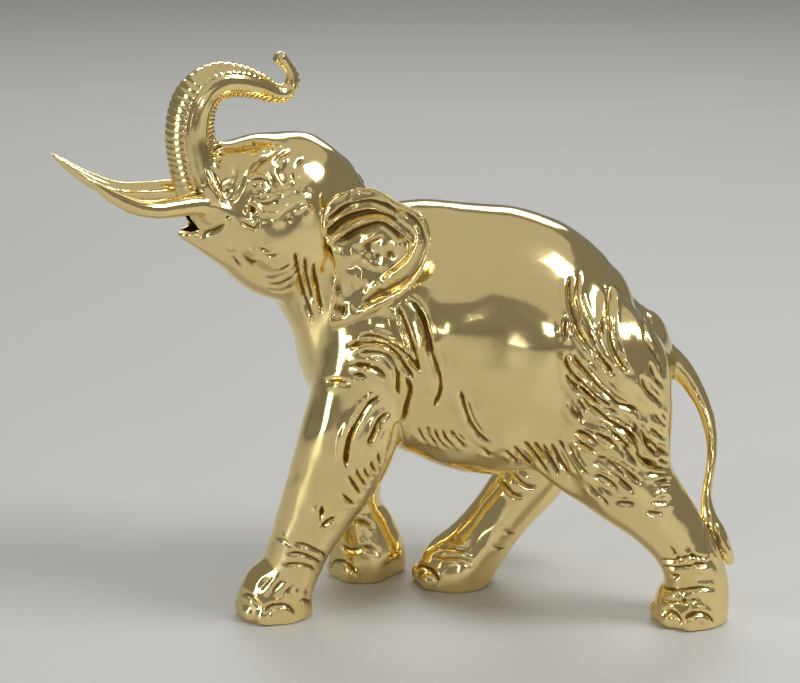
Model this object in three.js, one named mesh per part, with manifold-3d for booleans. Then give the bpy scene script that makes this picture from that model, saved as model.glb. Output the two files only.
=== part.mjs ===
// A cast and polished bronze elephant, striding with its trunk thrown back over its raised head.
// One solid, in millimetres: +Z up, the head towards -X, the near side towards -Y, soles on the plane z = 0.
import * as THREE from "three";
import { mergeVertices } from "three/addons/utils/BufferGeometryUtils.js";
import Module from "manifold-3d";

const wasm = await Module();
wasm.setup();

// Driving dimensions
const NECK_X = -35; // the upright axis that the head turns about
const HEAD_YAW = THREE.MathUtils.degToRad(25); // turned towards the near side
const TRUNK_RIBS = 18;
const SOLE_DROP = 8; // how far the feet run below the floor before they are cut flat
const LIFTED_SOLE_OUT = new THREE.Vector3(0.74, -0.6, -0.3).normalize(); // faces out of the bent foot's sole

const BODY_SIDE = new THREE.Vector3(0, 1, 0);
const HEAD_FRONT = new THREE.Vector3(-Math.cos(HEAD_YAW), -Math.sin(HEAD_YAW), 0);
const HEAD_SIDE = new THREE.Vector3(-Math.sin(HEAD_YAW), Math.cos(HEAD_YAW), 0);

// A point given in the head's own directions: forwards of the neck axis, off to the far side, and up.
function headPoint(forward, side, up) {
  const axis = new THREE.Vector3(NECK_X, 0, up);
  return axis.addScaledVector(HEAD_FRONT, forward).addScaledVector(HEAD_SIDE, side);
}

// A station of a limb on the head: [forward, side, up, half-width across, half-width through].
function headStation([forward, side, up, across, through]) {
  return [...headPoint(forward, side, up).toArray(), across, through];
}

function geometryOf(points, triangles) {
  const geometry = new THREE.BufferGeometry();
  geometry.setAttribute("position", new THREE.Float32BufferAttribute(points.flatMap((p) => p.toArray()), 3));
  geometry.setIndex(triangles.flat());
  return geometry;
}

// A closed three.js geometry as a solid, with its faces turned outwards.
function solid(geometry) {
  const bare = geometry.clone();
  bare.deleteAttribute("normal");
  bare.deleteAttribute("uv");
  const merged = mergeVertices(bare, 1e-3);
  const position = merged.attributes.position;
  const corner = (i) => new THREE.Vector3().fromBufferAttribute(position, merged.index.getX(i));
  let volume = 0;
  for (let i = 0; i < merged.index.count; i += 3) volume += corner(i).dot(corner(i + 1).cross(corner(i + 2)));
  const triVerts = Uint32Array.from(merged.index.array);
  if (volume < 0) {
    for (let i = 0; i < triVerts.length; i += 3) {
      [triVerts[i], triVerts[i + 1]] = [triVerts[i + 1], triVerts[i]];
    }
  }
  return new wasm.Manifold(new wasm.Mesh({ numProp: 3, vertProperties: position.array, triVerts }));
}

// A rounded limb through stations [x, y, z, half-width across, half-width through]. "across" lies along the
// side direction. relief(along, angle) moves the skin out, with along from 0 to 1 and the angle measured from
// the side.
function limb({ stations, side = BODY_SIDE, rings = 16, sides = 16, ends = [1, 1], relief = () => 0 }) {
  const places = stations.map((s) => new THREE.Vector3(s[0], s[1], s[2]));
  const widths = stations.map((s) => new THREE.Vector3(s[3], s[4], 0));
  const spine = new THREE.CatmullRomCurve3(places, false, "catmullrom");
  const sizes = new THREE.CatmullRomCurve3(widths, false, "catmullrom");
  const points = [];
  const ring = (along, shrink, shift) => {
    const t = spine.getUtoTmapping(along);
    const tangent = spine.getTangent(t);
    const across = side.clone().addScaledVector(tangent, -side.dot(tangent)).normalize();
    const through = tangent.clone().cross(across);
    const size = sizes.getPoint(t);
    const centre = spine.getPoint(t).addScaledVector(tangent, shift * size.y);
    for (let i = 0; i < sides; i++) {
      const angle = (2 * Math.PI * i) / sides;
      const lift = relief(along, angle) * shrink;
      points.push(
        centre
          .clone()
          .addScaledVector(across, Math.cos(angle) * (size.x * shrink + lift))
          .addScaledVector(through, Math.sin(angle) * (size.y * shrink + lift)),
      );
    }
    return { centre, tangent, size };
  };
  const capAngles = [60, 30].map(THREE.MathUtils.degToRad);
  const first = ring(0, Math.cos(capAngles[0]), -ends[0] * Math.sin(capAngles[0]));
  ring(0, Math.cos(capAngles[1]), -ends[0] * Math.sin(capAngles[1]));
  for (let i = 0; i <= rings; i++) ring(i / rings, 1, 0);
  ring(1, Math.cos(capAngles[1]), ends[1] * Math.sin(capAngles[1]));
  const last = ring(1, Math.cos(capAngles[0]), ends[1] * Math.sin(capAngles[0]));
  const count = points.length / sides;
  const tip = (end, reach) => end.centre.clone().addScaledVector(end.tangent, reach * end.size.y);
  const beyond = 1 - Math.sin(capAngles[0]);
  points.push(tip(first, -ends[0] * beyond), tip(last, ends[1] * beyond));
  const triangles = [];
  for (let i = 0; i < sides; i++) {
    const next = (i + 1) % sides;
    triangles.push([points.length - 2, next, i]);
    triangles.push([points.length - 1, (count - 1) * sides + i, (count - 1) * sides + next]);
    for (let r = 0; r < count - 1; r++) {
      const low = r * sides;
      const high = low + sides;
      triangles.push([low + i, low + next, high + next], [low + i, high + next, high + i]);
    }
  }
  return solid(geometryOf(points, triangles));
}

// A smooth bump of height 1 at the centre, falling to 0 at half a width on either side.
const bump = (x, centre, width) => {
  const share = THREE.MathUtils.clamp((x - centre) / width, -0.5, 0.5);
  return Math.max(0, Math.cos(Math.PI * share));
};

const ball = (centre, [x, y, z], turn = 0) =>
  solid(new THREE.SphereGeometry(1, 8, 4).scale(x, y, z).rotateZ(turn).translate(...centre.toArray()));

// ---- Torso
const torso = limb({
  stations: [
    [-40, 0, 171, 36, 44], [-20, 0, 176, 46, 63], [6, 0, 175.5, 53, 75], [30, 0, 171, 57, 79],
    [55, 0, 165, 59, 83],
    [80, 0, 160, 59, 80.5], [100, 0, 155.5, 57, 73], [120, 0, 151, 52, 61], [138, 0, 148, 44, 49],
    [153, 0, 147.5, 32, 35],
  ],
  rings: 14,
  sides: 20,
  ends: [0.35, 0.5],
});

const chest = limb({
  stations: [
    [-42, 0, 204, 30, 20], [-38, 0, 178, 36, 19.5], [-33, 0, 152, 36, 21], [-25, 0, 124, 26, 17],
  ],
  rings: 6,
  sides: 12,
});

const neck = limb({
  stations: [
    [8, 0, 200, 40, 42], [-24, -1, 206, 39, 44], headStation([6, 0, 226, 37, 42]),
    headStation([28, 0, 240, 35, 40]),
  ],
  rings: 6,
  sides: 14,
});

// ---- Head
const cranium = limb({
  side: HEAD_SIDE,
  stations: [
    headStation([12, 0, 243, 35, 41]), headStation([28, 0, 250, 38, 45.5]),
    headStation([45, 0, 256, 35, 41.5]),
    headStation([61, 0, 262, 30, 37]), headStation([75, 0, 268, 22, 28]),
  ],
  rings: 8,
  sides: 18,
  ends: [0.6, 0.6],
});

const jaw = limb({
  side: HEAD_SIDE,
  stations: [
    headStation([20, 0, 214, 27, 20]), headStation([36, 0, 214.5, 25, 19.5]),
    headStation([49, 0, 218.5, 21, 16]),
    headStation([63, 0, 227, 16.5, 12]), headStation([77, 0, 235.5, 12, 7.5]),
    headStation([89, 0, 242.5, 8, 4]),
    headStation([95.5, 0, 246.5, 5, 2.5]),
  ],
  rings: 8,
  sides: 12,
  ends: [0.6, 0.8],
});

const mouth = limb({
  side: HEAD_SIDE,
  stations: [
    headStation([66, 0, 247, 15, 4]), headStation([82, 0, 251, 12, 5]),
    headStation([100, 0, 259, 8, 6]),
  ],
  rings: 4,
  sides: 12,
});

const cheek = (hand) =>
  limb({
    side: HEAD_SIDE,
    stations: [
      headStation([30, hand * 24, 232, 13, 20]), headStation([48, hand * 23, 240, 12, 16]),
      headStation([64, hand * 18, 251, 10, 11]), headStation([82, hand * 15.5, 261.5, 8, 8]),
    ],
    rings: 5,
    sides: 8,
  });

const eye = (hand) => ball(headPoint(55, hand * 27.5, 270), [4.6, 4.2, 3.6]);

// ---- Trunk
const ribbed = (angle) => THREE.MathUtils.smoothstep(Math.abs(Math.sin(angle)), 0.45, 0.8);
const trunk = limb({
  side: HEAD_SIDE,
  stations: [
    [64, 0, 252, 18, 19], [76, 0, 264, 17, 17.5], [84, 0, 278, 15.5, 16],
    [87.5, 0, 292, 14.3, 14.6], [88.5, 0, 305.5, 13.8, 14.2],
    [85.5, 0, 318, 13.2, 13.4], [78.5, 0, 327, 12.3, 12.4], [68.5, 0, 330.5, 11, 11],
    [57, 0, 329, 9.6, 9.7],
    [45.5, 0, 325, 7.8, 7.8], [36.5, 0, 320.5, 6.3, 6.2], [30, 0, 319.3, 5.6, 5.5],
    [24.5, 0, 322.5, 4.9, 4.8],
    [24, 0, 329, 4.2, 4], [27.5, 0, 335.5, 3.8, 3.4], [32.5, 0, 341, 5, 4.2],
  ].map(headStation),
  rings: 54,
  sides: 8,
  ends: [0.5, 0.4],
  relief: (along, angle) => {
    const fade = bump(along, 0.45, 0.9);
    return -1.1 * ribbed(angle) * fade * (0.5 + 0.5 * Math.cos(2 * Math.PI * TRUNK_RIBS * along));
  },
});

// ---- Tusks
function tusk(hand) {
  const station = ([forward, side, up, radius]) => headStation([forward, hand * side, up, radius, radius]);
  return limb({
    side: HEAD_SIDE,
    stations: [
      [72, 14, 258, 6.6], [84, 16, 261.5, 6.6], [96, 18, 264, 6.3], [108, 20, 264.2, 5.8],
      [120, 22, 265.3, 5.3],
      [132, 24.5, 268.8, 4.8], [145, 27, 276.2, 3.8], [155, 28.3, 284, 2.6], [162.5, 29, 290.5, 0.9],
    ].map(station),
    rings: 10,
    sides: 7,
  });
}

// ---- Ears
const EAR_OUTLINE = [
  [0, 0], [1, 13], [7, 22], [16, 27], [28, 29.5], [37, 27.5], [46, 22.5], [55, 19.5], [61, 16],
  [65.5, 7], [66, -2], [64, -11],
  [59, -22], [52, -31.5], [43, -38.5], [31, -45.5], [18.5, -51.5], [6, -57], [3, -55], [5.5, -42],
  [7, -29], [7, -14],
];
const EAR_MIDDLE = [33, -6];

function ear({ root, rearward, outward, cup, spokes, reaches, thickness = 3.4 }) {
  const rearAxis = rearward.clone().normalize();
  const outAxis = outward.clone().normalize();
  const corners = EAR_OUTLINE.map(([a, b]) => new THREE.Vector3(a, b, 0));
  const outline = new THREE.CatmullRomCurve3(corners, true, "centripetal");
  const place = (a, b, lift) => {
    const at = root.clone().addScaledVector(rearAxis, a).addScaledVector(outAxis, lift);
    return at.add(new THREE.Vector3(0, 0, b));
  };
  const middle = new THREE.Vector3(EAR_MIDDLE[0], EAR_MIDDLE[1], 0);
  const lift = (reach, angle) => {
    const folds = THREE.MathUtils.smoothstep(Math.sin(angle), 0.1, 0.8) * Math.cos(reach * 5 * Math.PI) * 1.6;
    return cup * reach * reach + bump(reach, 0.92, 0.3) * 2 + (reach > 0.4 ? folds : 0);
  };
  const points = [];
  for (const front of [1, 0]) {
    points.push(place(middle.x, middle.y, lift(0, 0) - (front ? 0 : thickness)));
    for (const reach of reaches) {
      for (let i = 0; i < spokes; i++) {
        const edge = outline.getPointAt(i / spokes).sub(middle);
        const angle = Math.atan2(edge.y, edge.x);
        const rim = reach === 1 ? thickness * 0.35 : 0;
        const at = edge.multiplyScalar(reach).add(middle);
        points.push(place(at.x, at.y, lift(reach, angle) - (front ? rim : thickness - rim)));
      }
    }
  }
  const layer = 1 + reaches.length * spokes;
  const triangles = [];
  for (let i = 0; i < spokes; i++) {
    const next = (i + 1) % spokes;
    for (const [start, flip] of [[0, false], [layer, true]]) {
      const add = (p, q, r) => triangles.push(flip ? [p, r, q] : [p, q, r]);
      add(start, start + 1 + i, start + 1 + next);
      for (let r = 0; r < reaches.length - 1; r++) {
        const low = start + 1 + r * spokes;
        const high = low + spokes;
        add(low + i, high + i, high + next);
        add(low + i, high + next, low + next);
      }
    }
    const front = 1 + (reaches.length - 1) * spokes;
    triangles.push([front + i, layer + front + i, layer + front + next]);
    triangles.push([front + i, layer + front + next, front + next]);
  }
  return solid(geometryOf(points, triangles));
}

const earRoot = (from, to) => limb({ stations: [[...from, 6, 8], [...to, 6, 8]], rings: 3, sides: 8 });
const nearEar = ear({
  root: new THREE.Vector3(-38, -40, 244),
  rearward: new THREE.Vector3(0.955, -0.295, 0),
  outward: new THREE.Vector3(-0.295, -0.955, 0),
  cup: 5,
  spokes: 26,
  reaches: [0.4, 0.7, 0.88, 1],
}).add(earRoot([-33, -33, 250], [-33, -33, 214]));
const farEar = ear({
  root: headPoint(18, 33, 234),
  rearward: new THREE.Vector3(0.81, 0.585, 0),
  outward: new THREE.Vector3(-0.585, 0.81, 0),
  cup: 5,
  spokes: 20,
  reaches: [0.45, 0.8, 1],
});

// ---- Legs
const nearFront = limb({
  stations: [
    [-6, -28, 206, 22, 28], [-9, -32, 170, 24, 31], [-17.5, -34, 140, 24, 29], [-24, -35, 116, 24, 29.5],
    [-32, -35, 94, 22.5, 27.5], [-42.5, -34, 72, 20.5, 23.3], [-54, -33, 46, 18.5, 18.8],
    [-60.5, -32, 29, 18, 18.2],
    [-68.5, -30, 13, 21, 22.5], [-70, -30, 2, 21.5, 23], [-70, -30, -SOLE_DROP, 20, 21.5],
  ],
  rings: 14,
  sides: 12,
});

const farFront = limb({
  stations: [
    [-10, 26, 204, 20, 28], [-13, 30, 165, 22, 29], [-18, 33, 125, 22, 26.5],
    [-21, 34, 90, 20, 20], [-23.5, 35, 60, 18, 18.3],
    [-23, 35, 45, 17.5, 17.8], [-17.5, 36, 27, 20, 21.5], [-14.5, 37, 13, 22.5, 24],
    [-15, 37, -SOLE_DROP, 22, 23.5],
  ],
  rings: 14,
  sides: 12,
});

const nearHind = limb({
  stations: [
    [116, -16, 188, 22, 20], [128, -29, 162, 28, 34], [133, -32, 134, 27.5, 35], [136, -35, 107, 25, 32],
    [144, -37, 87, 23, 27.5], [156.5, -38, 72, 21.5, 23], [167.5, -38, 59, 20, 20],
    [176.5, -38, 45, 18.5, 18.4],
    [182.5, -38, 31, 18.5, 18.8], [184, -38, 20, 20, 20.5], [182, -38, 9, 22, 22.8],
    [181, -38, -SOLE_DROP, 21, 22],
  ],
  rings: 15,
  sides: 13,
});

const farHind = limb({
  stations: [
    [114, 16, 184, 22, 20], [122, 28, 156, 28, 32], [117, 31, 124, 26, 31], [102, 30, 93, 22, 26],
    [84, 27, 64, 19, 21],
    [66, 25, 40, 17.5, 18.4], [53, 23, 23, 19.5, 19.8], [42, 22, 9, 22.5, 23.5],
    [38, 22, -SOLE_DROP, 22, 23],
  ],
  rings: 14,
  sides: 12,
});

// The fold of skin from the belly to the knee.
const flank = (hand) =>
  limb({
    stations: [[92, hand * 26, 108, 10, 16], [110, hand * 31, 90, 10, 13], [132, hand * 36, 78, 12, 13]],
    rings: 4,
    sides: 8,
  });

// The heel of the far front foot is lifted: a plane through the line where the sole leaves the floor.
const liftedSole = solid(
  new THREE.BoxGeometry(100, 100, 100)
    .translate(0, 0, 50)
    .applyQuaternion(new THREE.Quaternion().setFromUnitVectors(new THREE.Vector3(0, 0, 1), LIFTED_SOLE_OUT))
    .translate(-10, 14, 0),
);

// ---- Tail
const tail = limb({
  stations: [
    [140, 0, 160, 8, 8], [157, 0, 159, 8.5, 9], [173, -2, 148, 7, 7.2], [185, -6, 132, 5.6, 5.2],
    [192, -12, 114, 4.2, 4],
    [193.5, -18, 95, 3, 3.1], [190.5, -24, 75, 3, 3], [192, -28, 62, 4.5, 4.5],
    [199, -30, 48, 6, 5], [205, -30, 34, 4, 3],
  ],
  rings: 17,
  sides: 6,
});

// ---- Toenails
function nails(x, y, radius, bearings) {
  return bearings.map((bearing) => {
    const angle = THREE.MathUtils.degToRad(bearing);
    const at = new THREE.Vector3(x - Math.cos(angle) * radius, y - Math.sin(angle) * radius, 5);
    return ball(at, [4, 6.5, 6], angle);
  });
}

// ---- Carved folds, as [x, z] on the side of the body
const HAUNCH_FOLDS = [
  [[107, 216], [106, 198], [111, 182], [121, 167]],
  [[112, 216], [112, 195], [118, 180], [132, 160]],
  [[130, 206], [129, 190], [139, 162]],
  [[142, 196], [152, 181], [158, 166], [161, 152]],
  [[103, 176], [106, 163], [119, 149], [134, 141]],
  [[114, 144], [130, 133], [144, 122], [150, 108]],
  [[140, 134], [151, 121], [155, 106]],
  [[118, 110], [132, 107], [148, 94]],
];
const SHOULDER_FOLDS = [
  [[-20, 181], [-3, 182], [9, 174], [17, 162]],
  [[-22, 166], [-8, 166], [-1, 157]],
  [[5, 202], [11, 182], [16, 160]],
  [[10, 205], [23, 184], [29, 160], [26, 139]],
  [[-6, 148], [-17, 134], [-25, 118], [-25, 101], [-17, 84]],
  [[-29, 88], [-19, 77]],
];
const ANKLE_FOLDS = [50, 44, 38].map((up) => [[-68, up - 3], [-54, up + 3], [-42, up - 2]]);

// A groove of round section that follows the skin, seen from the hand side of the body.
function groove(skin, hand, path, width) {
  const places = path.map(([x, z]) => new THREE.Vector3(x, 0, z));
  const line = new THREE.CatmullRomCurve3(places, false, "catmullrom");
  const caster = new THREE.Raycaster();
  const stations = line.getSpacedPoints(path.length + 2).map((at, i, all) => {
    caster.set(new THREE.Vector3(at.x, hand * 300, at.z), new THREE.Vector3(0, -hand, 0));
    const onSkin = caster.intersectObject(skin)[0].point;
    const size = width * (0.4 + 0.6 * Math.sin((Math.PI * i) / (all.length - 1)));
    return [...onSkin.toArray(), size, size];
  });
  return limb({ stations, rings: stations.length - 1, sides: 4 });
}

function skinOf(whole) {
  const { vertProperties, triVerts } = whole.getMesh();
  const geometry = new THREE.BufferGeometry();
  geometry.setAttribute("position", new THREE.BufferAttribute(vertProperties, 3));
  geometry.setIndex(new THREE.BufferAttribute(triVerts, 1));
  return geometry;
}

// ---- Casting
const floor = solid(new THREE.BoxGeometry(1000, 1000, 100).translate(0, 0, -50));
const pieces = [
  chest, neck, cranium, jaw, cheek(-1), cheek(1), trunk, tusk(-1), tusk(1), eye(-1), eye(1), nearEar, farEar,
  nearFront, farFront.subtract(liftedSole), nearHind, farHind, flank(-1), tail,
  ...nails(-70, -30, 20, [-45, 0, 40, 75]), ...nails(181, -38, 20.5, [-45, 0, 45, 85]),
  ...nails(38, 22, 21, [-45, 0, 45]), ...nails(-15, 37, 21, [-30, 15, 60]),
];
const smooth = pieces.reduce((whole, piece) => whole.add(piece), torso).subtract(mouth).subtract(floor);
const skin = new THREE.Mesh(skinOf(smooth), new THREE.MeshBasicMaterial({ side: THREE.DoubleSide }));
const grooves = [
  ...HAUNCH_FOLDS.map((path) => groove(skin, -1, path, 1.5)),
  ...SHOULDER_FOLDS.map((path) => groove(skin, -1, path, 1.5)),
  ...ANKLE_FOLDS.map((path) => groove(skin, -1, path, 1.2)),
];
const elephant = grooves
  .reduce((whole, piece) => whole.subtract(piece), smooth)
  .decompose()
  .sort((one, other) => other.volume() - one.volume())[0];

const bronze = new THREE.MeshStandardMaterial({ color: 0xc9a85c, roughness: 0.18, metalness: 1 });
const mesh = new THREE.Mesh(skinOf(elephant), bronze);
mesh.name = "elephant";

const group = new THREE.Group();
group.add(mesh);
const extent = new THREE.Box3().setFromObject(mesh);
const middle = extent.getCenter(new THREE.Vector3());
group.position.set(-middle.x, -middle.y, -extent.min.z);
export default group;
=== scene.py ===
"""A cast and polished bronze elephant, striding with its trunk thrown back over its raised head.

It is made as a founder makes it: rounded masses of wax are joined softly, the skin is drawn over them, the
folds are carved into the skin, and the metal is polished. Measures are in millimetres in the sculpture's own
frame, with the head towards -X, the near side towards -Y and the soles on z = 0.
"""

import math

import bpy
import numpy as np
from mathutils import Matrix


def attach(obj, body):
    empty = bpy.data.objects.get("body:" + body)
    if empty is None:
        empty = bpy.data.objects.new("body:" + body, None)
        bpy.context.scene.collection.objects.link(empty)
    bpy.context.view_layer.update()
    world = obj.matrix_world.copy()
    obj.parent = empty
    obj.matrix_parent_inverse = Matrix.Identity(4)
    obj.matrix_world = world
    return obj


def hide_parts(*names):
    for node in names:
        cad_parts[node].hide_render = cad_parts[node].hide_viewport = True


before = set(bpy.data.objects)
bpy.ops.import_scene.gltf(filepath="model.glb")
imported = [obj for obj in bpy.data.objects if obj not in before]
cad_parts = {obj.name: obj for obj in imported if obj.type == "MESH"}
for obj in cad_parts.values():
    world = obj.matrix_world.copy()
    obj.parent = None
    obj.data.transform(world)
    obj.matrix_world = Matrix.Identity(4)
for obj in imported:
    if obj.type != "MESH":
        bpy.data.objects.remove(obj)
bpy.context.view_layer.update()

import openvdb
from mathutils import Vector
from mathutils.kdtree import KDTree

# ---- Driving dimensions
OWN_ORIGIN = np.array([-6.129, 15.351, 0.0])  # where the sculpture's own origin lies in the part's frame
NECK_X = -35.0  # the upright axis that the head turns about
HEAD_YAW = math.radians(25)  # turned towards the near side
SOLE_DROP = 8  # how far the feet run below the floor before they are cut flat
WAX_CELL = 1.25
REACH = 14.0  # distances to the skin are kept this far on both sides of it
METRE = 0.001

BODY_SIDE = np.array([0.0, 1.0, 0.0])
HEAD_FRONT = np.array([-math.cos(HEAD_YAW), -math.sin(HEAD_YAW), 0.0])
HEAD_SIDE = np.array([-math.sin(HEAD_YAW), math.cos(HEAD_YAW), 0.0])
UP = np.array([0.0, 0.0, 1.0])


def on_head(forward, side, up):
    """A point given in the head's own directions: forwards of the neck axis, off to the far side, and up."""
    return np.array([NECK_X, 0.0, up]) + forward * HEAD_FRONT + side * HEAD_SIDE


def head_stations(rows):
    """Stations [forward, side, up, half-width across, half-width through] of a limb on the head."""
    return [[*on_head(*row[:3]), *row[3:]] for row in rows]


# ---- Wax: rounded masses


def smooth_line(rows, spacing):
    """Rows of numbers an even distance apart along the smooth curve through the given rows, which start x, y, z."""
    rows = np.asarray(rows, float)
    ends = np.vstack([2 * rows[0] - rows[1], rows, 2 * rows[-1] - rows[-2]])
    t = np.linspace(0, len(rows) - 1, 40 * len(rows))
    i = np.minimum(t.astype(int), len(rows) - 2)
    w = (t - i)[:, None]
    a, b, c, d = (ends[i + k] for k in range(4))
    line = 0.5 * (2 * b + (c - a) * w + (2 * a - 5 * b + 4 * c - d) * w**2 + (3 * b - a - 3 * c + d) * w**3)
    run = np.r_[0, np.cumsum(np.linalg.norm(np.diff(line[:, :3], axis=0), axis=1))]
    even = np.linspace(0, run[-1], max(2, int(run[-1] / spacing) + 1))
    return np.column_stack([np.interp(even, run, column) for column in line.T])


def unit(vectors):
    return vectors / np.linalg.norm(vectors, axis=-1, keepdims=True)


def spine_of(stations, side, spacing=1.5):
    """A limb's middle line, its half-widths, and the directions along, across and through it."""
    line = smooth_line(stations, spacing)
    along = unit(np.gradient(line[:, :3], axis=0))
    across = unit(side - (along @ side)[:, None] * along)
    return line[:, :3], line[:, 3:5], along, across, np.cross(along, across)


def limb(stations, side=BODY_SIDE, ends=(1, 1), sides=56):
    """A closed rounded limb through stations [x, y, z, half-width across, half-width through]."""
    middle, size, along, across, through = spine_of(stations, side)
    bulge = np.radians([80, 65, 50, 35, 18])
    rows = np.r_[np.zeros(len(bulge), int), np.arange(len(middle)), np.full(len(bulge), len(middle) - 1)]
    shrink = np.r_[np.cos(bulge), np.ones(len(middle)), np.cos(bulge[::-1])]
    shift = np.r_[-ends[0] * np.sin(bulge), np.zeros(len(middle)), ends[1] * np.sin(bulge[::-1])]
    centre = middle[rows] + (shift * size[rows, 1])[:, None] * along[rows]
    turn = np.linspace(0, 2 * np.pi, sides, endpoint=False)
    reach_across = (shrink * size[rows, 0])[:, None] * np.cos(turn)
    reach_through = (shrink * size[rows, 1])[:, None] * np.sin(turn)
    rings = centre[:, None] + reach_across[..., None] * across[rows, None] + reach_through[..., None] * through[rows, None]
    tips = [middle[0] - ends[0] * size[0, 1] * along[0], middle[-1] + ends[1] * size[-1, 1] * along[-1]]
    points = np.vstack([rings.reshape(-1, 3), tips])
    return points, np.vstack([ring_walls(len(rows), sides), ring_cap(0, sides, len(points) - 2, True),
                              ring_cap((len(rows) - 1) * sides, sides, len(points) - 1, False)])


def ring_walls(rings, sides):
    """Triangles between rings of points that follow one another."""
    low = (np.arange(rings - 1)[:, None] * sides + np.arange(sides)).ravel()
    low_next = (np.arange(rings - 1)[:, None] * sides + (np.arange(sides) + 1) % sides).ravel()
    return np.vstack([np.column_stack([low, low_next, low_next + sides]),
                      np.column_stack([low, low_next + sides, low + sides])])


def ring_cap(start, sides, tip, flip):
    """Triangles from one ring to a single point."""
    one = start + np.arange(sides)
    other = start + (np.arange(sides) + 1) % sides
    return np.column_stack([np.full(sides, tip), other, one] if flip else [np.full(sides, tip), one, other])


def ball(centre, sizes, turn=0.0):
    """An ellipsoid turned about the upright."""
    rings, sides = 24, 32
    fall = np.linspace(0, np.pi, rings + 2)[1:-1, None]
    round_ = np.linspace(0, 2 * np.pi, sides, endpoint=False)
    shell = np.stack([np.sin(fall) * np.cos(round_), np.sin(fall) * np.sin(round_), np.cos(fall) + 0 * round_], -1)
    shell = np.vstack([shell.reshape(-1, 3), [0, 0, 1], [0, 0, -1]]) * sizes
    x, y = shell[:, 0].copy(), shell[:, 1].copy()
    shell[:, 0] = x * math.cos(turn) - y * math.sin(turn)
    shell[:, 1] = x * math.sin(turn) + y * math.cos(turn)
    return shell + centre, np.vstack([ring_walls(rings, sides), ring_cap(0, sides, rings * sides, True),
                                      ring_cap((rings - 1) * sides, sides, rings * sides + 1, False)])


def slab(point, out, size=120.0):
    """A thick block whose one face lies on the point and looks against the direction out."""
    out = unit(np.asarray(out, float))
    one = unit(np.cross(out, UP if abs(out[2]) < 0.9 else BODY_SIDE))
    other = np.cross(out, one)
    corners = [point + size * (x * one + y * other) / 2 + z * size * out
               for z in (0, 1) for x, y in ((-1, -1), (1, -1), (1, 1), (-1, 1))]
    sides = [[0, 1, 2, 3], [7, 6, 5, 4], [4, 5, 1, 0], [5, 6, 2, 1], [6, 7, 3, 2], [7, 4, 0, 3]]
    return np.array(corners), np.array([t for a, b, c, d in sides for t in ([a, b, c], [a, c, d])])


def soft_least(one, other, blend):
    """The lesser of two distances, rounded where they come within the blend of each other."""
    near = np.maximum(blend - np.abs(one - other), 0) / blend
    return np.minimum(one, other) - near**3 * (blend / 6)


class Wax:
    """A block of distances to the skin on an even grid, negative inside the wax."""

    def __init__(self, low, high):
        self.low = np.floor(np.array(low) / WAX_CELL).astype(int)
        size = np.ceil(np.array(high) / WAX_CELL).astype(int) - self.low
        self.field = np.full(size, REACH, np.float32)

    def _distances(self, shape):
        points, triangles = shape
        low = np.maximum(np.floor((points.min(0) - REACH) / WAX_CELL).astype(int), self.low)
        high = np.ceil((points.max(0) + REACH) / WAX_CELL).astype(int) + 1
        high = np.minimum(high, self.low + self.field.shape)
        level = openvdb.FloatGrid.createLevelSetFromPolygons(
            np.ascontiguousarray(points, np.float32),
            triangles=np.ascontiguousarray(triangles, np.uint32),
            transform=openvdb.createLinearTransform(WAX_CELL),
            halfWidth=REACH / WAX_CELL,
        )
        distances = np.full(high - low, REACH, np.float32)
        level.copyToArray(distances, ijk=tuple(int(v) for v in low))
        return tuple(slice(a, b) for a, b in zip(low - self.low, high - self.low)), distances

    def add(self, shape, blend):
        self._merge(*self._distances(shape), blend)

    def _merge(self, place, new, blend):
        old = self.field[place]
        both = (old < REACH) & (new < REACH)
        self.field[place] = np.where(both, soft_least(old, new, blend), np.minimum(old, new))

    def cut(self, shape, blend):
        place, new = self._distances(shape)
        old = self.field[place]
        self.field[place] = -soft_least(-old, new, blend)

    def join(self, other, blend):
        """Adds a smaller block of wax."""
        low = np.maximum(self.low, other.low)
        high = np.minimum(self.low + self.field.shape, other.low + other.field.shape)
        place = tuple(slice(a, b) for a, b in zip(low - self.low, high - self.low))
        new = other.field[tuple(slice(a, b) for a, b in zip(low - other.low, high - other.low))]
        self._merge(place, new, blend)

    def level_with_floor(self):
        """Cuts the feet flat on z = 0."""
        up = (self.low[2] + np.arange(self.field.shape[2])) * WAX_CELL
        self.field = np.maximum(self.field, np.float32(-up))

    def soften(self, spread):
        """Rounds every crease and edge made so far."""
        reach = int(math.ceil(2.5 * spread / WAX_CELL))
        steps = np.arange(-reach, reach + 1)
        weights = np.exp(-0.5 * (steps * WAX_CELL / spread) ** 2)
        weights = (weights / weights.sum()).astype(np.float32)
        for axis in range(3):
            wide = np.moveaxis(np.pad(self.field, [(reach, reach) if a == axis else (0, 0) for a in range(3)], "edge"), axis, 0)
            length = self.field.shape[axis]
            total = sum(w * wide[s + reach : s + reach + length] for s, w in zip(steps, weights))
            self.field = np.ascontiguousarray(np.moveaxis(total, 0, axis))

    def skin(self):
        """The skin as points and four-sided faces."""
        grid = openvdb.FloatGrid(REACH)
        grid.copyFromArray(self.field, ijk=tuple(int(v) for v in self.low))
        grid.transform = openvdb.createLinearTransform(WAX_CELL)
        points, quads = grid.convertToQuads()
        return points.astype(float), quads.astype(np.int64)


# ---- Torso and neck

TORSO = [
    [-40, 0, 171, 36, 44], [-20, 0, 176, 46, 63], [6, 0, 175.5, 53, 75], [30, 0, 171, 57, 79], [55, 0, 165, 59, 83],
    [80, 0, 160, 59, 80.5], [100, 0, 155.5, 57, 73], [120, 0, 151, 52, 61], [138, 0, 148, 44, 49],
    [153, 0, 147.5, 32, 35],
]
CHEST = [[-42, 0, 204, 30, 20], [-38, 0, 178, 36, 19.5], [-33, 0, 152, 36, 21], [-25, 0, 124, 26, 17]]
NECK = [[8, 0, 200, 40, 42], [-24, -1, 206, 39, 44], *head_stations([[6, 0, 226, 37, 42], [28, 0, 240, 35, 40]])]

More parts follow.
